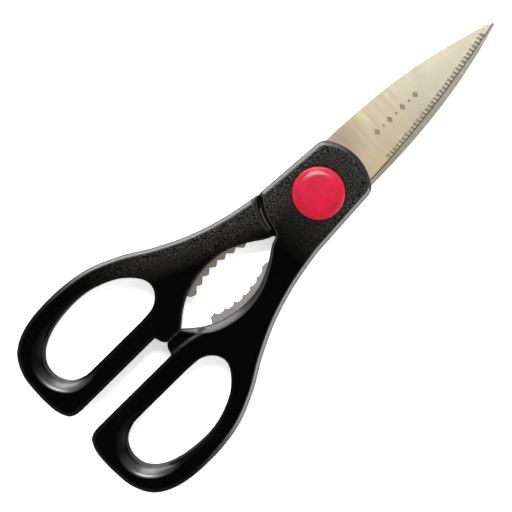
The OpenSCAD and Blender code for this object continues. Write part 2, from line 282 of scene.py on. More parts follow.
class Solid:
    """A mesh being built: vertices in drawing millimetres, an edge value for the material (gloss on the
    handles, painted shade on the blades), and faces.
    """

    def __init__(self):
        self.co, self.edge, self.faces, self.slots = [], [], [], []

    def add(self, points, z, edge=0.0):
        """Adds a ring of points and returns their numbers."""
        first = len(self.co)
        z = np.broadcast_to(z, len(points))
        edge = np.broadcast_to(edge, len(points))
        self.co += [(float(p[0]), float(p[1]), float(h)) for p, h in zip(points, z)]
        self.edge += [float(e) for e in edge]
        return np.arange(first, first + len(points))

    def band(self, a, b):
        """Joins two closed rings of equal length with quads."""
        for i in range(len(a)):
            j = (i + 1) % len(a)
            self.faces.append((int(a[i]), int(a[j]), int(b[j]), int(b[i])))
            self.slots.append(0)

    def fill(self, loops, height, inner=(), edge=0.0, marks=()):
        """Fills a flat region. loops are rings of vertex numbers, the outer one first and then its holes.

        height is a function of an array of inner points, which are added, and edge is their edge value
        or a function of them. marks are closed outlines inside the region, for the second material."""
        rings = [np.array([self.co[i][:2] for i in ring]) for ring in loops]
        extra = [np.array(p, float).reshape(-1, 2) for p in (*marks, inner) if len(p)]
        xy = np.vstack(rings + extra)
        known = sum(len(r) for r in rings)
        edges, first = [], 0
        for ring in [*rings, *marks]:
            edges += [(first + i, first + (i + 1) % len(ring)) for i in range(len(ring))]
            first += len(ring)
        out, _, tris, origins, _, _ = delaunay_2d_cdt([Vector(p) for p in xy], edges, [], 0, 1e-6, True)
        out = np.array([tuple(v) for v in out])
        ids = [int(np.concatenate(loops)[o[0]]) if o and o[0] < known else -1 for o in origins]
        fresh = [i for i, n in enumerate(ids) if n < 0]
        if fresh:
            values = edge(out[fresh]) if callable(edge) else edge
            for i, n in zip(fresh, self.add(out[fresh], height(out[fresh]), values)):
                ids[i] = int(n)
        tris = np.array([t for t in tris if len(t) == 3])
        centres = out[tris].mean(1)
        inside = within(rings[0], centres)
        for hole in rings[1:]:
            inside &= ~within(hole, centres)
        marked = np.zeros(len(centres), bool)
        for mark in marks:
            marked ^= within(np.array(mark), centres)
        for t, m in zip(tris[inside], marked[inside]):
            self.faces.append(tuple(ids[i] for i in t))
            self.slots.append(int(m))

    def make(self, name, half, materials, sharp_deg):
        """Turns the drawing into a Blender object of that half, with sharp creases kept sharp."""
        mirror = (1, -1, 1) if half == FRONT else (1, 1, -1)
        mesh = bpy.data.meshes.new(name)
        co = np.array(self.co) * MM * mirror + np.array(PIVOT)
        mesh.from_pydata(co.tolist(), [], self.faces)
        for material in materials:
            mesh.materials.append(material)
        mesh.polygons.foreach_set("material_index", self.slots)
        mesh.attributes.new("gloss_and_painted_shade", "FLOAT", "POINT").data.foreach_set("value", self.edge)
        bm = bmesh.new()
        bm.from_mesh(mesh)
        loose = [v for v in bm.verts if not v.link_faces]
        bmesh.ops.delete(bm, geom=loose, context="VERTS")
        bmesh.ops.remove_doubles(bm, verts=bm.verts, dist=2e-6)
        bmesh.ops.dissolve_degenerate(bm, edges=bm.edges, dist=1e-7)
        # A fill can leave a face of no area outside a straight stretch of its outline.
        slivers = [face for face in bm.faces
                   if face.calc_area() < 1e-11 and any(len(edge.link_faces) > 2 for edge in face.edges)]
        bmesh.ops.delete(bm, geom=slivers, context="FACES")
        bmesh.ops.recalc_face_normals(bm, faces=bm.faces)
        for face in bm.faces:
            face.smooth = True
        for edge in bm.edges:
            if len(edge.link_faces) != 2 or edge.calc_face_angle(0) > math.radians(sharp_deg):
                edge.smooth = False
        bm.to_mesh(mesh)
        bm.free()
        piece = bpy.data.objects.new(name, mesh)
        bpy.context.scene.collection.objects.link(piece)
        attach(piece, half)
        return piece


def within(loop, points):
    """Which points lie inside a closed loop."""
    inside = np.zeros(len(points), bool)
    x, y = points[:, 0], points[:, 1]
    for (x0, y0), (x1, y1) in zip(loop, np.roll(loop, -1, 0)):
        if y0 == y1:
            continue
        crosses = (y0 > y) != (y1 > y)
        inside ^= crosses & (x < (x1 - x0) * (y - y0) / (y1 - y0) + x0)
    return inside


def tree(points):
    kd = KDTree(len(points))
    for i, p in enumerate(points):
        kd.insert((p[0], p[1], 0), i)
    kd.balance()
    return kd


def grid_inside(loops, pitch, margin):
    """Evenly spread points inside the first loop and outside the others, a margin away from all of them."""
    low, high = loops[0].min(0), loops[0].max(0)
    rows = np.arange(low[1], high[1], pitch * 0.866)
    points = np.array([(x + (pitch / 2 if r % 2 else 0), y)
                       for r, y in enumerate(rows) for x in np.arange(low[0], high[0], pitch)])
    keep = within(loops[0], points)
    for hole in loops[1:]:
        keep &= ~within(hole, points)
    points = points[keep]
    kd = tree(np.vstack(loops))
    return np.array([p for p in points if kd.find((p[0], p[1], 0))[2] > margin])


# ---------------------------------------------------------------- handles

CROWN = 0.4             # how far the faces fall towards their edges
CROWN_REACH = 7.0       # and over what distance
WALL_GLOSS = 0.3
STEP_X, STEP_WIDTH = (-81.6, -58), 2.0      # the step round the stop tab, from the palm end
FACE_PITCH = 1.1
GLOSS_BY_RING = (0.3, 0.6, 1, 1, 1, 1, 1, 0.8, 0)


def stop_limit(points):
    """Half of the thickness that is left by the shallow step round the stop tab."""
    x, y = points[:, 0], points[:, 1]
    bound = np.interp(x, *zip(*STEP_KNOTS))
    t = np.clip((y - bound + STEP_WIDTH / 2) / STEP_WIDTH, 0, 1)
    t = np.where((x > STEP_X[0]) & (x < STEP_X[1]), t, 1)
    return STOP_HALF_T + (HALF_T - STOP_HALF_T) * t * t * (3 - 2 * t)


class Face:
    """One face of a handle: its rings, and how high its surface is."""

    def __init__(self, solid, outline, profiles, gloss, side, kd):
        self.kd = kd
        normals = inward(outline)
        limit = inset_limit(outline, normals)
        self.rings = []
        for k in range(RINGS):
            inset, drop = profiles[:, 2 * k], profiles[:, 2 * k + 1]
            points = outline + normals * np.minimum(inset, limit)[:, None]
            z = np.minimum(self.crowned(points) - drop, stop_limit(points) - 0.3 * drop)
            self.rings.append(solid.add(points, side * z, GLOSS_BY_RING[k] * gloss))
        for a, b in zip(self.rings, self.rings[1:]):
            solid.band(a, b)

    def crowned(self, points):
        near = np.array([min(1, self.kd.find((x, y, 0))[2] / CROWN_REACH) for x, y in points])
        return HALF_T - CROWN * (1 - near)**2

    def surface(self, points):
        """Height of the crowned face at each point, with the step beside the stop tab."""
        return np.minimum(self.crowned(points), stop_limit(points))


def outline_gloss(outline, jaw_gloss):
    """Edges are polished from the collar to the finger loop, and duller at the palm end and the slot."""
    x, y = outline[:, 0], outline[:, 1]
    gloss = np.where((x < -71) & (y < 12), 0.12, np.interp(x, (-104, -88, 14, 18), (0.12, 1.0, 1.0, 0.6)))
    jaw = jaw_gloss * np.interp(x, (-70, -62), (0.5, 1.0))
    return np.where((x > -71) & (x < -23) & (y > 0.3) & (y < 10.6), jaw, gloss)


def hole_gloss(outline, worn_at):
    """The finger loop is rubbed bright round one place at its palm end."""
    away = np.linalg.norm(outline - worn_at, axis=1)
    return np.interp(away, (3, 12), (1.1, 0.06))


def step_gloss(points):
    """The slope of the step beside the stop tab has a little of the polish of the chamfers."""
    t = (stop_limit(points) - STOP_HALF_T) / (HALF_T - STOP_HALF_T)
    return 1.2 * t * (1 - t)


def circle(radius, steps=128):
    a = 2 * np.pi * np.arange(steps) / steps
    return radius * np.stack([np.cos(a), np.sin(a)], 1)


def build_handle(name, half, material, worn_at):
    """A one-piece handle with its finger loop, jaw cheek, stop tab and collar."""
    solid = Solid()
    upper, upper_edge = even_loop(grip_stretches(True) + collar_stretches(), LOOP_SPACING)
    _, plain_edge = even_loop(grip_stretches(False) + collar_stretches(), LOOP_SPACING)
    if area(upper) < 0:
        upper, upper_edge, plain_edge = upper[::-1], upper_edge[::-1], plain_edge[::-1]

    # The lower outline keeps the grip's points outside the shoulder's circle.
    radius = np.linalg.norm(upper, axis=1)
    far = radius > SHOULDER_R + SHOULDER_CLEAR
    start = next(i for i in range(len(far)) if far[i] and not far[i - 1])
    count = 0
    while far[(start + count) % len(far)]:
        count += 1
    shared = (start + np.arange(count)) % len(upper)
    ends = upper[shared[0]], upper[shared[-1]]
    a_end = math.degrees(math.atan2(ends[1][1], ends[1][0])) % 360
    a_start = math.degrees(math.atan2(ends[0][1], ends[0][0])) % 360
    shoulder = arc(SHOULDER_R, a_end, a_start, LOOP_SPACING)
    lower = np.vstack([upper[shared], shoulder])
    lower_edge = np.vstack([plain_edge[shared], np.tile(shoulder_step(), (len(shoulder), 1))])

    hole_points = np.vstack([curve(HOLE_KNOTS), line(HOLE_KNOTS[-1], HOLE_KNOTS[0])])
    hole, hole_edge = even_loop([(hole_points, hole_profiles(hole_points))], LOOP_SPACING)
    if area(hole) > 0:
        hole, hole_edge = hole[::-1], hole_edge[::-1]

    upper_kd = tree(np.vstack([upper, hole]))
    lower_kd = tree(np.vstack([lower, hole]))
    top = Face(solid, upper, upper_edge, outline_gloss(upper, 0.75), 1, upper_kd)
    top_hole = Face(solid, hole, hole_edge, hole_gloss(hole, worn_at), 1, upper_kd)
    base = Face(solid, lower, lower_edge, outline_gloss(lower, 0.2), -1, lower_kd)
    base_hole = Face(solid, hole, hole_edge, hole_gloss(hole, worn_at), -1, lower_kd)

    # Side walls, split at the collar's inner face
    mid_upper = solid.add(upper, COLLAR_Z, WALL_GLOSS)
    mid_shoulder = solid.add(shoulder, COLLAR_Z, WALL_GLOSS)
    mid_lower = np.concatenate([mid_upper[shared], mid_shoulder])
    solid.band(top.rings[0], mid_upper)
    solid.band(mid_lower, base.rings[0])
    solid.band(top_hole.rings[0], base_hole.rings[0])

    # The collar's inner face, the chamber for the bolt or the nut, and the cap's seat with its soft lip
    chamber_low = solid.add(circle(CHAMBER_R), COLLAR_Z, 1.0)
    chamber_high = solid.add(circle(CHAMBER_R), CAP_SEAT_Z, 1.0)
    seat_low = solid.add(circle(CAP_R + 0.1), CAP_SEAT_Z, 1.0)
    seat_mid = solid.add(circle(CAP_R + 0.1), HALF_T - 0.3, 0.1)
    seat_high = solid.add(circle(CAP_R + 0.25), HALF_T - 0.1, 0.1)
    seat_top = solid.add(circle(CAP_R + 0.5), top.surface(circle(CAP_R + 0.5)), 0.0)
    for a, b in ((chamber_low, chamber_high), (chamber_high, seat_low), (seat_low, seat_mid),
                 (seat_mid, seat_high), (seat_high, seat_top)):
        solid.band(a, b)
    collar_part = (shared[-1] + np.arange(len(upper) - count + 2)) % len(upper)
    collar_loop = np.concatenate([mid_upper[collar_part], mid_shoulder[::-1]])
    solid.fill([collar_loop, chamber_low], lambda p: np.full(len(p), COLLAR_Z), edge=1.0)

    # Faces, with rows of points that carry the step beside the stop tab
    def face_points(loops):
        points = grid_inside(loops, FACE_PITCH, 0.5)
        points = points[(points[:, 0] < -81.5) | (points[:, 0] > -59.8) | (np.abs(points[:, 1] - 6) > 3.8)]
        rows = [(x, y) for y in np.arange(2.6, 9.6, 0.35) for x in np.arange(-81.3, -60, 0.45)]
        kd = tree(np.vstack(loops))
        rows = np.array([p for p in rows if kd.find((p[0], p[1], 0))[2] > 0.3])
        rows = rows[within(loops[0], rows)]
        return np.vstack([points, rows])

    def ring_xy(ring):
        return np.array([solid.co[i][:2] for i in ring])

    loops = [top.rings[-1], top_hole.rings[-1], seat_top]
    solid.fill(loops, top.surface, face_points([ring_xy(r) for r in loops]), step_gloss)
    loops = [base.rings[-1], base_hole.rings[-1]]
    solid.fill(loops, lambda p: -base.surface(p), face_points([ring_xy(r) for r in loops]))
    return solid.make(name, half, [material], HANDLE_SHARP_DEG)


# ---------------------------------------------------------------- blades

BLADE_START = 20
BLADE_LEN = TIP_X - BLADE_START
SPINE_SLOPE, SPINE_POWER = 1.9, 2.35
EDGE_OFFSET, EDGE_SLOPE = 10.2, 3.6
TIP_BLUNT = 0.9
BEVEL_W, EDGE_LAND = 0.6, 0.3
FLUTE_FIRST_X, FLUTE_PITCH, FLUTE_COUNT = 28.5, 1.71, 34
FLUTE_R, FLUTE_REACH = 0.44, 2.4
TOOTH_COUNT, TOOTH_PITCH, JAW_MID_X = 7, 4.15, -46.1
FRONT_TEETH = 1.2, 6.7, 0.0165     # height, distance from the centre line, fall of the line of tips
REAR_TEETH = 1.5, 7.4, 0.0146
JAW_STRIP_X, JAW_STRIP_Y = (-61.5, -29), -9.5       # where the toothed edge lies
MARK_COUNT, MARK_FIRST_X, MARK_PITCH, MARK_Y = 7, 31.8, 3.3, 0.95
BLADE_RINGS = 5


def blade_edge_profile(width, depth):
    a = np.linspace(0, math.pi / 2, BLADE_RINGS - 1)
    ring = np.stack([width * (1 - np.cos(a)), depth * (1 - np.sin(a))], 1)
    return np.vstack([ring, [[width + 0.12, 0]]]).ravel()


class BladeShape:
    """The curves of one blade, in the drawing's plane, with the spine on the +Y side."""

    def __init__(self, spine_offset, tip_y, fluted):
        self.spine_offset = spine_offset
        self.tip_top, self.tip_bottom = tip_y + TIP_BLUNT / 2, tip_y - TIP_BLUNT / 2
        self.fluted = fluted

    def spine(self, x):
        u = (x - BLADE_START) / BLADE_LEN
        fall = self.spine_offset - SPINE_SLOPE - self.tip_top
        return self.spine_offset - SPINE_SLOPE * u - fall * np.maximum(u, 0)**SPINE_POWER

    def edge(self, x):
        u = np.clip((x - BLADE_START) / BLADE_LEN, 0, 1)
        return -EDGE_OFFSET + EDGE_SLOPE * u + (EDGE_OFFSET - EDGE_SLOPE + self.tip_bottom) * u**2

    def lean(self, x):
        return np.arctan2(self.edge(x + 0.5) - self.edge(x - 0.5), 1.0)

    def cut(self, points, grow=0):
        """Heights of the ground bevel and of the flutes cut across it, with their radius grown by grow."""
        x, y = points[:, 0], points[:, 1]
        lean = self.lean(x)
        v = (y - self.edge(x)) * np.cos(lean)
        rise = BLADE_T - EDGE_LAND
        bevel = BLADE_GAP + EDGE_LAND + v * rise / BEVEL_W
        flute = np.full(len(x), BLADE_TOP + 1.0)
        if self.fluted:
            along = (x + v * np.sin(lean) - FLUTE_FIRST_X) / FLUTE_PITCH
            nearest = np.clip(np.round(along), 0, FLUTE_COUNT - 1)
            off = np.abs(along - nearest) * FLUTE_PITCH
            radius = FLUTE_R + grow
            side = FLUTE_R - np.sqrt(np.maximum(radius**2 - off**2, 0))
            floor = BLADE_GAP + EDGE_LAND + v * rise / FLUTE_REACH
            flute = np.where(off < radius, floor + side * math.hypot(1, rise / FLUTE_REACH), flute)
        return bevel, flute

    def top(self, points):
        """Height of the outer face: flat, with the ground bevel and the flutes along the cutting edge."""
        on_blade = points[:, 0] > BLADE_START - 6
        ground = np.clip(np.minimum(*self.cut(points)), BLADE_GAP + 0.04, BLADE_TOP)
        return np.where(on_blade, ground, BLADE_TOP)

    def shade(self, points):
        """How much painted shade: 1 on the bevel, 0.75 in the flutes, and 0 on the flat a little way
        outside them.
        """
        bevel, flute = self.cut(points, 0.08)
        shade = np.maximum(np.clip((BLADE_TOP - bevel) / 0.6, 0, 1),
                           0.75 * np.clip((BLADE_TOP - flute) / 0.15, 0, 1))
        return np.where(points[:, 0] > BLADE_START - 6, shade, 0)


def tooth_line(cusped):
    """The toothed edge from its palm end to its pivot end: shallow cusps in front, zigzag teeth behind."""
    points = []
    height, middle_y, fall = FRONT_TEETH if cusped else REAR_TEETH
    for i in range(TOOTH_COUNT):
        tip_x = JAW_MID_X + (i - (TOOTH_COUNT - 1) / 2) * TOOTH_PITCH
        for t in np.linspace(-0.5, 0.4, 10):
            x = tip_x + t * TOOTH_PITCH
            tip_y = middle_y - fall * (x - JAW_MID_X)**2
            if cusped:
                sink = 1 - (1 - 2 * abs(t))**2.2
            else:
                sink = min(1, max(0, (abs(t) - 0.05) / 0.45))
            points.append((x, -tip_y - sink * height))
    return np.array(points)


def blade_outline(shape, cusped):
    """Stretches of a blade's outline, counter-clockwise from the collar along the cutting edge."""
    fine = 0.15 if shape.fluted else 0.5
    edge_x = np.arange(BLADE_START - 5, TIP_X, fine)
    spine_x = np.arange(TIP_X, BLADE_START, -0.8)
    teeth = tooth_line(cusped)
    tang = curve([(-16, -10.9), (-28, -12.4), (-40, -15), (-52, -18.3), (-60, -19.4), (-63.2, -16),
                  (-62.8, -8.8)], 1)
    neck = curve([(-29.2, -5.9), (-24, -3.6), (-16, -1.5), (-12, 4.5), (-6, 10), (4, shape.spine_offset),
                  (BLADE_START, shape.spine_offset)], 1)
    crisp, tooth = (blade_edge_profile(*v) for v in ((0.08, 0.08), (0.2, 0.2)))
    widths = np.interp(spine_x, (20, 50, 70), (0.1, 0.25, 0.5))
    soft = np.array([blade_edge_profile(w, 0.35 * w) for w in widths])
    return [
        (np.stack([edge_x, shape.edge(edge_x)], 1), blade_edge_profile(0.02, 0.0)),
        (np.array([(TIP_X, shape.tip_bottom), (TIP_X, shape.tip_top)]), crisp),
        (np.stack([spine_x, shape.spine(spine_x)], 1), soft),
        (neck[::-1], crisp),
        (teeth[::-1], tooth),
        (tang[::-1], crisp),
        (line((-16, -10.9), (-4, -10.6), 1.5), crisp),
    ]


def diamond_mark():
    """A plain row of etched diamonds, large and small by turns."""
    marks = []
    for i in range(MARK_COUNT):
        x, y = MARK_FIRST_X + MARK_PITCH * i, MARK_Y
        w, h = (1.15, 1.5) if i % 2 == 0 else (0.7, 0.55)
        marks.append([(x - w, y), (x, y - h), (x + w, y), (x, y + h)])
    return marks


def build_blade(name, half, shape, cusped, bore, marks, materials):
    """A flat blade with its tang and jaw strip, ground along the cutting edge, round a bore."""
    solid = Solid()
    flip = np.array([1, -1])
    stretches = blade_outline(shape, cusped)
    xy = np.vstack([p for p, _ in stretches])
    profiles = np.vstack([np.broadcast_to(v, (len(p), 2 * BLADE_RINGS)) for p, v in stretches])
    keep = np.linalg.norm(xy - np.roll(xy, 1, 0), axis=1) > 1e-3
    xy, profiles = xy[keep], profiles[keep]
    if area(xy) < 0:
        xy, profiles = xy[::-1], profiles[::-1]
    normals = inward(xy)
    limit = inset_limit(xy, normals)
    on_teeth = (xy[:, 0] > JAW_STRIP_X[0]) & (xy[:, 0] < JAW_STRIP_X[1]) & (xy[:, 1] > JAW_STRIP_Y)
    rings = []
    for k in range(BLADE_RINGS):
        points = xy + normals * np.minimum(profiles[:, 2 * k], limit)[:, None]
        z = np.minimum(BLADE_TOP - profiles[:, 2 * k + 1], shape.top(points))
        # The toothed edge's outline gets full painted shade in its outer rings and rim, as a dark line
        # round the teeth.
        shade = np.maximum(shape.shade(points), on_teeth * (1 if k < 2 else 0))
        rings.append(solid.add(points * flip, z, shade))
    rim = solid.add(xy * flip, BLADE_GAP, on_teeth * 1)
    # The base stays short of crossing itself at the blunt tip.
    base_inset = np.minimum(np.where(on_teeth, 0.45, 0.1), limit)
    base = solid.add((xy + normals * base_inset[:, None]) * flip, BLADE_GAP)
    for a, b in zip([base, rim, *rings], [rim, *rings]):
        solid.band(a, b)
    bore_top = solid.add(bore, BLADE_TOP)
    bore_base = solid.add(bore, BLADE_GAP)
    solid.band(bore_top, bore_base)

    # Points that carry the bevel and the flutes, and a loose grid for the rest of the face
    rows = np.arange(0.2, 2.81, 0.2) if shape.fluted else np.array([0.2, 0.4, 0.6, 0.75])
    columns = np.arange(BLADE_START - 4, TIP_X - 0.6, 0.15 if shape.fluted else 0.8)
    gx, gv = np.meshgrid(columns, rows)
    bevel = np.stack([gx.ravel(), (shape.edge(gx) + gv / np.cos(shape.lean(gx))).ravel()], 1)
    inner_ring = np.array([solid.co[i][:2] for i in rings[-1]]) * flip
    sparse = grid_inside([inner_ring], 4, 1.5)
    sparse = sparse[(sparse[:, 1] > shape.edge(sparse[:, 0]) + 3.5) | (sparse[:, 0] < BLADE_START - 5)]
    bevel = bevel[within(inner_ring, bevel)]
    kd = tree(inner_ring)
    bevel = np.array([p for p in bevel if kd.find((p[0], p[1], 0))[2] > 0.06])
    inner = np.vstack([bevel, sparse[np.linalg.norm(sparse, axis=1) > 7]]) * flip
    marks = [[(x, -y) for x, y in mark] for mark in marks]
    solid.fill([rings[-1], bore_top], lambda p: shape.top(p * flip), inner,
               edge=lambda p: shape.shade(p * flip), marks=marks)
    solid.fill([base, bore_base], lambda p: np.full(len(p), BLADE_GAP))
    return solid.make(name, half, materials, BLADE_SHARP_DEG)


# ---------------------------------------------------------------- turned parts

TURNED_STEPS = 96
CAP_CROWN_W = 4.3
CAP_SKIRT_R, CAP_SKIRT_INNER_R, CAP_SKIRT_H = CHAMBER_R - 0.05, 6.4, 1.5
CAP_WALL = 1


def lathe(name, half, profile, material):
    """A turned piece from a profile of (radius, height) pairs that starts and ends on the axis."""
    solid = Solid()
    rings = [solid.add(circle(max(r, 1e-4), TURNED_STEPS), z) for r, z in profile]
    for a, b in zip(rings, rings[1:]):
        solid.band(a, b)
    return solid.make(name, half, [material], TURNED_SHARP_DEG)


def cap_profile(rise):
    """A snap-in cap: a crowned or flat top with a rounded rim, and a skirt below."""
    top = HALF_T + rise
    rim = CAP_R
    if rise > 0:
        crown = [(0, top), (2, top - 0.01), (4, top - 0.05)]
        crown += [(rim - CAP_CROWN_W + CAP_CROWN_W * math.sin(a), top - 1.5 + 1.4 * math.cos(a))
                  for a in np.radians(np.arange(0, 91, 6))]
    else:
        crown = [(0, top), (rim - 0.9, top), (rim - 0.5, top - 0.05), (rim - 0.15, top - 0.2),
                 (rim, top - 0.45)]
    skirt_end = CAP_SEAT_Z - CAP_SKIRT_H
    return crown + [(rim, CAP_SEAT_Z + 0.15), (rim - 0.1, CAP_SEAT_Z), (CAP_SKIRT_R, CAP_SEAT_Z),
                    (CAP_SKIRT_R, skirt_end + 0.2), (CAP_SKIRT_R - 0.2, skirt_end),
                    (CAP_SKIRT_INNER_R, skirt_end), (CAP_SKIRT_INNER_R, top - CAP_WALL),
                    (0, top - CAP_WALL)]


# ---------------------------------------------------------------- materials

def new_material(name):
    material = bpy.data.materials.new(name)
    material.use_nodes = True
    nodes, links = material.node_tree.nodes, material.node_tree.links
    shader = nodes["Principled BSDF"]
    coords = nodes.new("ShaderNodeTexCoord")
    return material, nodes, links, shader, coords.outputs["Object"]


def noise(nodes, links, coords, scale, detail=4, rough=0.55, stretch=(1, 1, 1)):
    mapping = nodes.new("ShaderNodeMapping")
    mapping.inputs["Scale"].default_value = stretch
    links.new(coords, mapping.inputs["Vector"])
    texture = nodes.new("ShaderNodeTexNoise")
    texture.inputs["Scale"].default_value = scale
    texture.inputs["Detail"].default_value = detail
    texture.inputs["Roughness"].default_value = rough
    links.new(mapping.outputs["Vector"], texture.inputs["Vector"])
    return texture.outputs["Fac"]


def ramp(nodes, links, value, stops):
    """A colour ramp; stops are (position, colour or grey)."""
    node = nodes.new("ShaderNodeValToRGB")
    elements = node.color_ramp.elements
    while len(elements) < len(stops):
        elements.new(0.5)
    for element, (position, colour) in zip(elements, stops):
        element.position = position
        element.color = (*colour, 1) if isinstance(colour, tuple) else (colour, colour, colour, 1)
    links.new(value, node.inputs["Fac"])
    return node.outputs["Color"]


def maths(nodes, links, operation, a, b):
    node = nodes.new("ShaderNodeMath")
    node.operation = operation
    for socket, value in zip(node.inputs, (a, b)):
        if isinstance(value, (int, float)):
            socket.default_value = value
        else:
            links.new(value, socket)
    return node.outputs["Value"]


def mix_colour(nodes, links, factor, a, b, blend="MIX"):
    node = nodes.new("ShaderNodeMix")
    node.data_type = "RGBA"
    node.blend_type = blend
    for key, value in (("Factor", factor), ("A", a), ("B", b)):
        kind = "VALUE" if key == "Factor" else "RGBA"
        socket = next(s for s in node.inputs if s.name == key and s.type == kind)
        if isinstance(value, (int, float)):
            socket.default_value = value
        elif isinstance(value, tuple):
            socket.default_value = (*value, 1)
        else:
            links.new(value, socket)
    return next(s for s in node.outputs if s.type == "RGBA")


def bump(nodes, links, shader, height, strength, distance):
    node = nodes.new("ShaderNodeBump")
    node.inputs["Distance"].default_value = distance
    if isinstance(strength, (int, float)):
        node.inputs["Strength"].default_value = strength
    else:
        links.new(strength, node.inputs["Strength"])
    links.new(height, node.inputs["Height"])
    links.new(node.outputs["Normal"], shader.inputs["Normal"])


def position(nodes, links, coords):
    """The three coordinates about the pivot, in metres."""
    shift = nodes.new("ShaderNodeVectorMath")
    shift.operation = "SUBTRACT"
    shift.inputs[1].default_value = PIVOT
    links.new(coords, shift.inputs[0])
    split = nodes.new("ShaderNodeSeparateXYZ")
    links.new(shift.outputs["Vector"], split.inputs[0])
    return shift.outputs["Vector"], split.outputs


def remap(nodes, links, value, low, high):
    """0 at low, 1 at high."""
    node = nodes.new("ShaderNodeMapRange")
    node.inputs["From Min"].default_value = low
    node.inputs["From Max"].default_value = high
    links.new(value, node.inputs["Value"])
    return node.outputs["Result"]


def handle_material():
    """Black moulded plastic: spark-eroded faces, and glossy chamfers and walls where the edge gloss is 1.
    Light speckle on the faces is painted brighter by position, as painted light.
    """
    material, nodes, links, shader, coords = new_material("handle_plastic")
    gloss = nodes.new("ShaderNodeAttribute")
    gloss.attribute_name = "gloss_and_painted_shade"
    gloss = gloss.outputs["Fac"]
    texture = remap(nodes, links, gloss, 0.35, 0.0)
    _, (along, across, _) = position(nodes, links, coords)
    grain = noise(nodes, links, coords, 3000, 2, 0.7)
    cloud = noise(nodes, links, coords, 60, 3)
    # Painted light: the speckle is shown brighter towards the pivot and across the rear handle, where more
    # light falls; elsewhere it stays faint.
    slant = maths(nodes, links, "ADD", along, maths(nodes, links, "MULTIPLY", across, 2.6))
    painted_light_falloff = maths(nodes, links, "MULTIPLY", remap(nodes, links, slant, -0.018, 0.008),
                  remap(nodes, links, along, -0.085, -0.05))
    painted_light_falloff = maths(nodes, links, "MAXIMUM", painted_light_falloff, remap(nodes, links, along, -0.024, 0.004))
    face = ramp(nodes, links, cloud, [(0.35, (0.0001, 0.0001, 0.0001)), (0.7, (0.0005, 0.0005, 0.0005))])
    speckle_and_painted_light = maths(nodes, links, "MULTIPLY", ramp(nodes, links, grain, [(0.50, 0.0), (0.66, 1.0)]),
                 maths(nodes, links, "ADD", 0.02, maths(nodes, links, "MULTIPLY", painted_light_falloff, 0.98)))
    speckle_and_painted_light = maths(nodes, links, "MULTIPLY", speckle_and_painted_light, texture)
    face = mix_colour(nodes, links, speckle_and_painted_light, face, (0.056, 0.056, 0.048))
    links.new(face, shader.inputs["Base Color"])
    face_rough = ramp(nodes, links, cloud, [(0.3, 0.5), (0.7, 0.6)])
    links.new(mix_colour(nodes, links, gloss, face_rough, (0.3, 0.3, 0.3)), shader.inputs["Roughness"])
    shader.inputs["Specular IOR Level"].default_value = 0.005
    links.new(maths(nodes, links, "MULTIPLY", gloss, 0.5), shader.inputs["Coat Weight"])
    shader.inputs["Coat Roughness"].default_value = 0.27
    shader.inputs["Coat IOR"].default_value = 1.8
    bump(nodes, links, shader, grain, maths(nodes, links, "MULTIPLY", texture, 0.55), 0.00012)
    return material


def steel_material():
    """Ground stainless steel with a warm cast: darker on the inner faces, partly a duller finish and partly
    painted shade; painted shade in the flutes, on the bevel and round the teeth; and a painted dark
    reflection beside the collar at the root.
    """
    material, nodes, links, shader, coords = new_material("blade_steel")
    shader.inputs["Metallic"].default_value = 1.0
    about, (along, _, height) = position(nodes, links, coords)
    shade = nodes.new("ShaderNodeAttribute")
    shade.attribute_name = "gloss_and_painted_shade"
    cloud = noise(nodes, links, coords, 45, 4)
    lines = noise(nodes, links, coords, 700, 3, 0.6, (1, 0.08, 1))
    drift = maths(nodes, links, "ADD", along, maths(nodes, links, "MULTIPLY", cloud, 0.03))
    length = remap(nodes, links, drift, -0.055, 0.105)
    colour = ramp(nodes, links, length, [
        (0.15, (0.39, 0.36, 0.345)), (0.45, (0.49, 0.41, 0.295)), (0.58, (0.58, 0.485, 0.31)),
        (0.75, (0.505, 0.46, 0.35)), (0.94, (0.50, 0.46, 0.36))])
    # A painted dark reflection on the blade beside the collar, drawn as a brown patch.
    near = nodes.new("ShaderNodeVectorMath")
    near.operation = "DISTANCE"
    near.inputs[1].default_value = (0.018, 0.010, 0.002)
    links.new(about, near.inputs[0])
    painted_reflection = remap(nodes, links, near.outputs["Value"], 0.014, 0.004)
    colour = mix_colour(nodes, links, painted_reflection, colour, (0.41, 0.315, 0.252))
    # The inner faces near the mating plane are darker: partly a duller finish, partly painted shade where
    # the handles and the other blade shade them.
    depth = maths(nodes, links, "ABSOLUTE", height, 0)
    inner = remap(nodes, links, depth, 0.00035, 0.0001)
    dull_and_painted_shade = ramp(nodes, links, length, [(0.15, (0.24, 0.215, 0.18)), (0.5, (0.32, 0.285, 0.23))])
    colour = mix_colour(nodes, links, maths(nodes, links, "MULTIPLY", inner, 0.9), colour, dull_and_painted_shade)
    # Painted shade: darkens the steel by the per-vertex shade value, in the flutes, along the bevel's dark
    # line and round the teeth.
    painted_shade = ramp(nodes, links, shade.outputs["Fac"], [(0.1, 1.0), (0.5, 0.42), (0.75, 0.30), (1.0, 0.13)])
    colour = mix_colour(nodes, links, 1, colour, painted_shade, "MULTIPLY")
    links.new(colour, shader.inputs["Base Color"])
    rough = ramp(nodes, links, lines, [(0.3, 0.15), (0.7, 0.19)])
    rough = mix_colour(nodes, links, shade.outputs["Fac"], rough, (0.45, 0.45, 0.45))
    links.new(rough, shader.inputs["Roughness"])
    bump(nodes, links, shader, lines, 0.03, 0.00004)
    return material


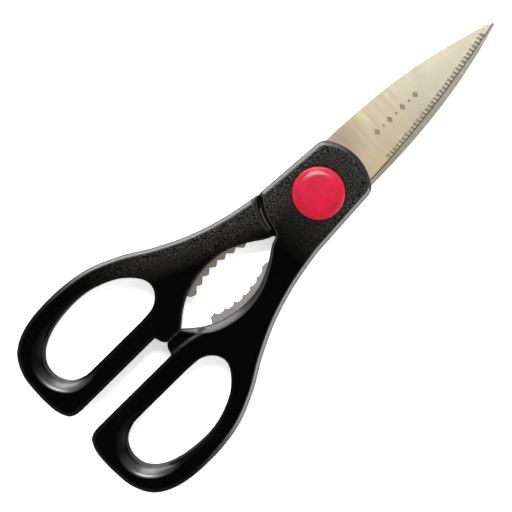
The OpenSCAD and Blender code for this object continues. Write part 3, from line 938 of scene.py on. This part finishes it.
def etched_material():
    material, nodes, links, shader, coords = new_material("etched_mark")
    shader.inputs["Metallic"].default_value = 0.6
    grain = noise(nodes, links, coords, 1800, 2)
    links.new(ramp(nodes, links, grain, [(0.3, (0.07, 0.05, 0.035)), (0.7, (0.13, 0.10, 0.07))]),
              shader.inputs["Base Color"])
    links.new(ramp(nodes, links, grain, [(0.3, 0.5), (0.7, 0.65)]), shader.inputs["Roughness"])
    bump(nodes, links, shader, grain, 0.3, 0.00003)
    return material


def cap_material():
    """Glossy red plastic with a faint moulded ripple."""
    material, nodes, links, shader, coords = new_material("cap_plastic")
    cloud = noise(nodes, links, coords, 250, 4)
    fine = noise(nodes, links, coords, 700, 3)
    links.new(ramp(nodes, links, cloud, [(0.3, (0.19, 0.0003, 0.010)), (0.7, (0.27, 0.0005, 0.017))]),
              shader.inputs["Base Color"])
    links.new(ramp(nodes, links, fine, [(0.35, 0.16), (0.7, 0.24)]), shader.inputs["Roughness"])
    shader.inputs["Specular IOR Level"].default_value = 0.15
    shader.inputs["Coat Weight"].default_value = 0.1
    shader.inputs["Coat Roughness"].default_value = 0.4
    bump(nodes, links, shader, fine, 0.05, 0.0001)
    return material


def fastener_material():
    material, nodes, links, shader, coords = new_material("fastener_steel")
    shader.inputs["Metallic"].default_value = 1.0
    cloud = noise(nodes, links, coords, 300, 4)
    links.new(ramp(nodes, links, cloud, [(0.3, (0.50, 0.50, 0.48)), (0.7, (0.68, 0.68, 0.66))]),
              shader.inputs["Base Color"])
    links.new(ramp(nodes, links, cloud, [(0.3, 0.25), (0.7, 0.42)]), shader.inputs["Roughness"])
    bump(nodes, links, shader, cloud, 0.1, 0.00005)
    return material


def floor_material():
    material, nodes, links, shader, coords = new_material("pale_floor")
    cloud = noise(nodes, links, coords, 6, 3)
    links.new(ramp(nodes, links, cloud, [(0.3, 0.90), (0.7, 0.93)]), shader.inputs["Base Color"])
    shader.inputs["Roughness"].default_value = 0.8
    shader.inputs["Emission Color"].default_value = (1, 1, 1, 1)
    shader.inputs["Emission Strength"].default_value = 0.45
    return material


# ---------------------------------------------------------------- the object

plastic = handle_material()
steel = steel_material()
etched = etched_material()
red = cap_material()
zinc = fastener_material()

for half, node, worn_at in ((FRONT, "front_handle", (-117, 30)), (REAR, "rear_handle", (-116.5, 14.5))):
    piece = build_handle(f"{node}_moulding", half, plastic, worn_at)
    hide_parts(node)

NECK_R, NECK_HALF_FLATS, SHANK_BORE_R = 3.02, 2.52, 3.05

neck = bend((NECK_R * math.cos(0.98), NECK_HALF_FLATS), (NECK_R, 2.0), (NECK_R, 0), 8)
neck = np.vstack([neck, neck[::-1] * (1, -1), neck * (-1, -1), neck[::-1] * (-1, 1)])
front_shape = BladeShape(spine_offset=12.2, tip_y=-0.1, fluted=True)
rear_shape = BladeShape(spine_offset=11.8, tip_y=0.8, fluted=False)
blades = (
    ("front_blade", FRONT, front_shape, True, neck, diamond_mark(), [steel, etched]),
    ("rear_blade", REAR, rear_shape, False, circle(SHANK_BORE_R, 64), [], [steel]),
)
for node, half, shape, cusped, bore, marks, materials in blades:
    piece = build_blade(f"{node}_ground", half, shape, cusped, bore, marks, materials)
    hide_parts(node)

for node, half, rise in (("front_cap", FRONT, CAP_TOP - HALF_T), ("rear_cap", REAR, 0)):
    piece = lathe(f"{node}_moulding", half, cap_profile(rise), red)
    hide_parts(node)

for node in ("pivot_bolt", "flat_washer", "spring_washer", "pivot_nut"):
    frame["nodes"][node].data.materials.clear()
    frame["nodes"][node].data.materials.append(zinc)


# ---------------------------------------------------------------- camera, lights and floor

SOFTBOX_DISTANCE = 1.0
TENT_STRENGTH = 1.75
LIT_POINT = PIVOT + Vector((-0.02, 0, 0))       # the softboxes face this point, near the jaws


def add_floor():
    mesh = bpy.data.meshes.new("studio_floor")
    corners = [(-4, -4, 0), (4, -4, 0), (4, 4, 0), (-4, 4, 0)]
    mesh.from_pydata(corners, [], [(0, 1, 2, 3)])
    floor = bpy.data.objects.new("studio_floor", mesh)
    mesh.materials.append(floor_material())
    bpy.context.scene.collection.objects.link(floor)


def add_camera():
    """Straight above, turned so that the closed blades point to the upper right of the picture."""
    lens, sensor = 95, 36
    picture_w = 0.19101         # at the pivot's height, in metres
    data = bpy.data.cameras.new("camera")
    data.lens, data.sensor_width = lens, sensor
    data.clip_start, data.clip_end = 0.01, 20
    camera = bpy.data.objects.new("camera", data)
    turn = math.radians(-44.6)
    centre = PIVOT + Vector((-0.03264, -0.00027, 0))
    camera.location = centre + Vector((0, 0, picture_w * lens / sensor))
    camera.rotation_euler = (0, 0, turn)
    bpy.context.scene.collection.objects.link(camera)
    bpy.context.scene.camera = camera


def add_softbox(name, azimuth, elevation, width, height, power):
    """An area light that faces the object. Azimuth 0 is +X and 90 is +Y."""
    data = bpy.data.lights.new(name, "AREA")
    data.shape = "RECTANGLE"
    data.size, data.size_y, data.energy = width, height, power
    light = bpy.data.objects.new(name, data)
    a, e = math.radians(azimuth), math.radians(elevation)
    direction = Vector((math.cos(a) * math.cos(e), math.sin(a) * math.cos(e), math.sin(e)))
    light.location = LIT_POINT + direction * SOFTBOX_DISTANCE
    light.rotation_mode = "QUATERNION"
    light.rotation_quaternion = direction.to_track_quat("Z", "Y")
    bpy.context.scene.collection.objects.link(light)


def add_lights():
    """A bright tent, dimmer overhead and a little above the horizon, with low softboxes at both sides."""
    world = bpy.data.worlds.new("studio")
    world.use_nodes = True
    nodes, links = world.node_tree.nodes, world.node_tree.links
    direction = nodes.new("ShaderNodeTexCoord")
    split = nodes.new("ShaderNodeSeparateXYZ")
    links.new(direction.outputs["Generated"], split.inputs[0])
    # White at the horizon, where a low view sees it, and dim just above, where it would bleach the steel
    tent = ramp(nodes, links, split.outputs[2], [
        (0.0, 1.0), (0.10, 1.0), (0.14, 0.35), (0.24, 0.35), (0.36, 1.0), (0.72, 1.0),
        (0.92, 0.48), (1.0, 0.42)])
    links.new(tent, nodes["Background"].inputs["Color"])
    nodes["Background"].inputs["Strength"].default_value = TENT_STRENGTH
    bpy.context.scene.world = world
    add_softbox("image_top", 45, 35, 0.5, 0.4, 5)
    add_softbox("cap_glint", 45, 66, 0.32, 0.22, 8.2)
    add_softbox("tip_side", 28, 17, 0.5, 0.25, 2.5)
    add_softbox("side_a", 68, 18, 0.75, 0.3, 8)
    add_softbox("side_b", -68, 18, 0.75, 0.3, 6)


bpy.context.scene.view_settings.view_transform = "Standard"
add_floor()
add_camera()
add_lights()
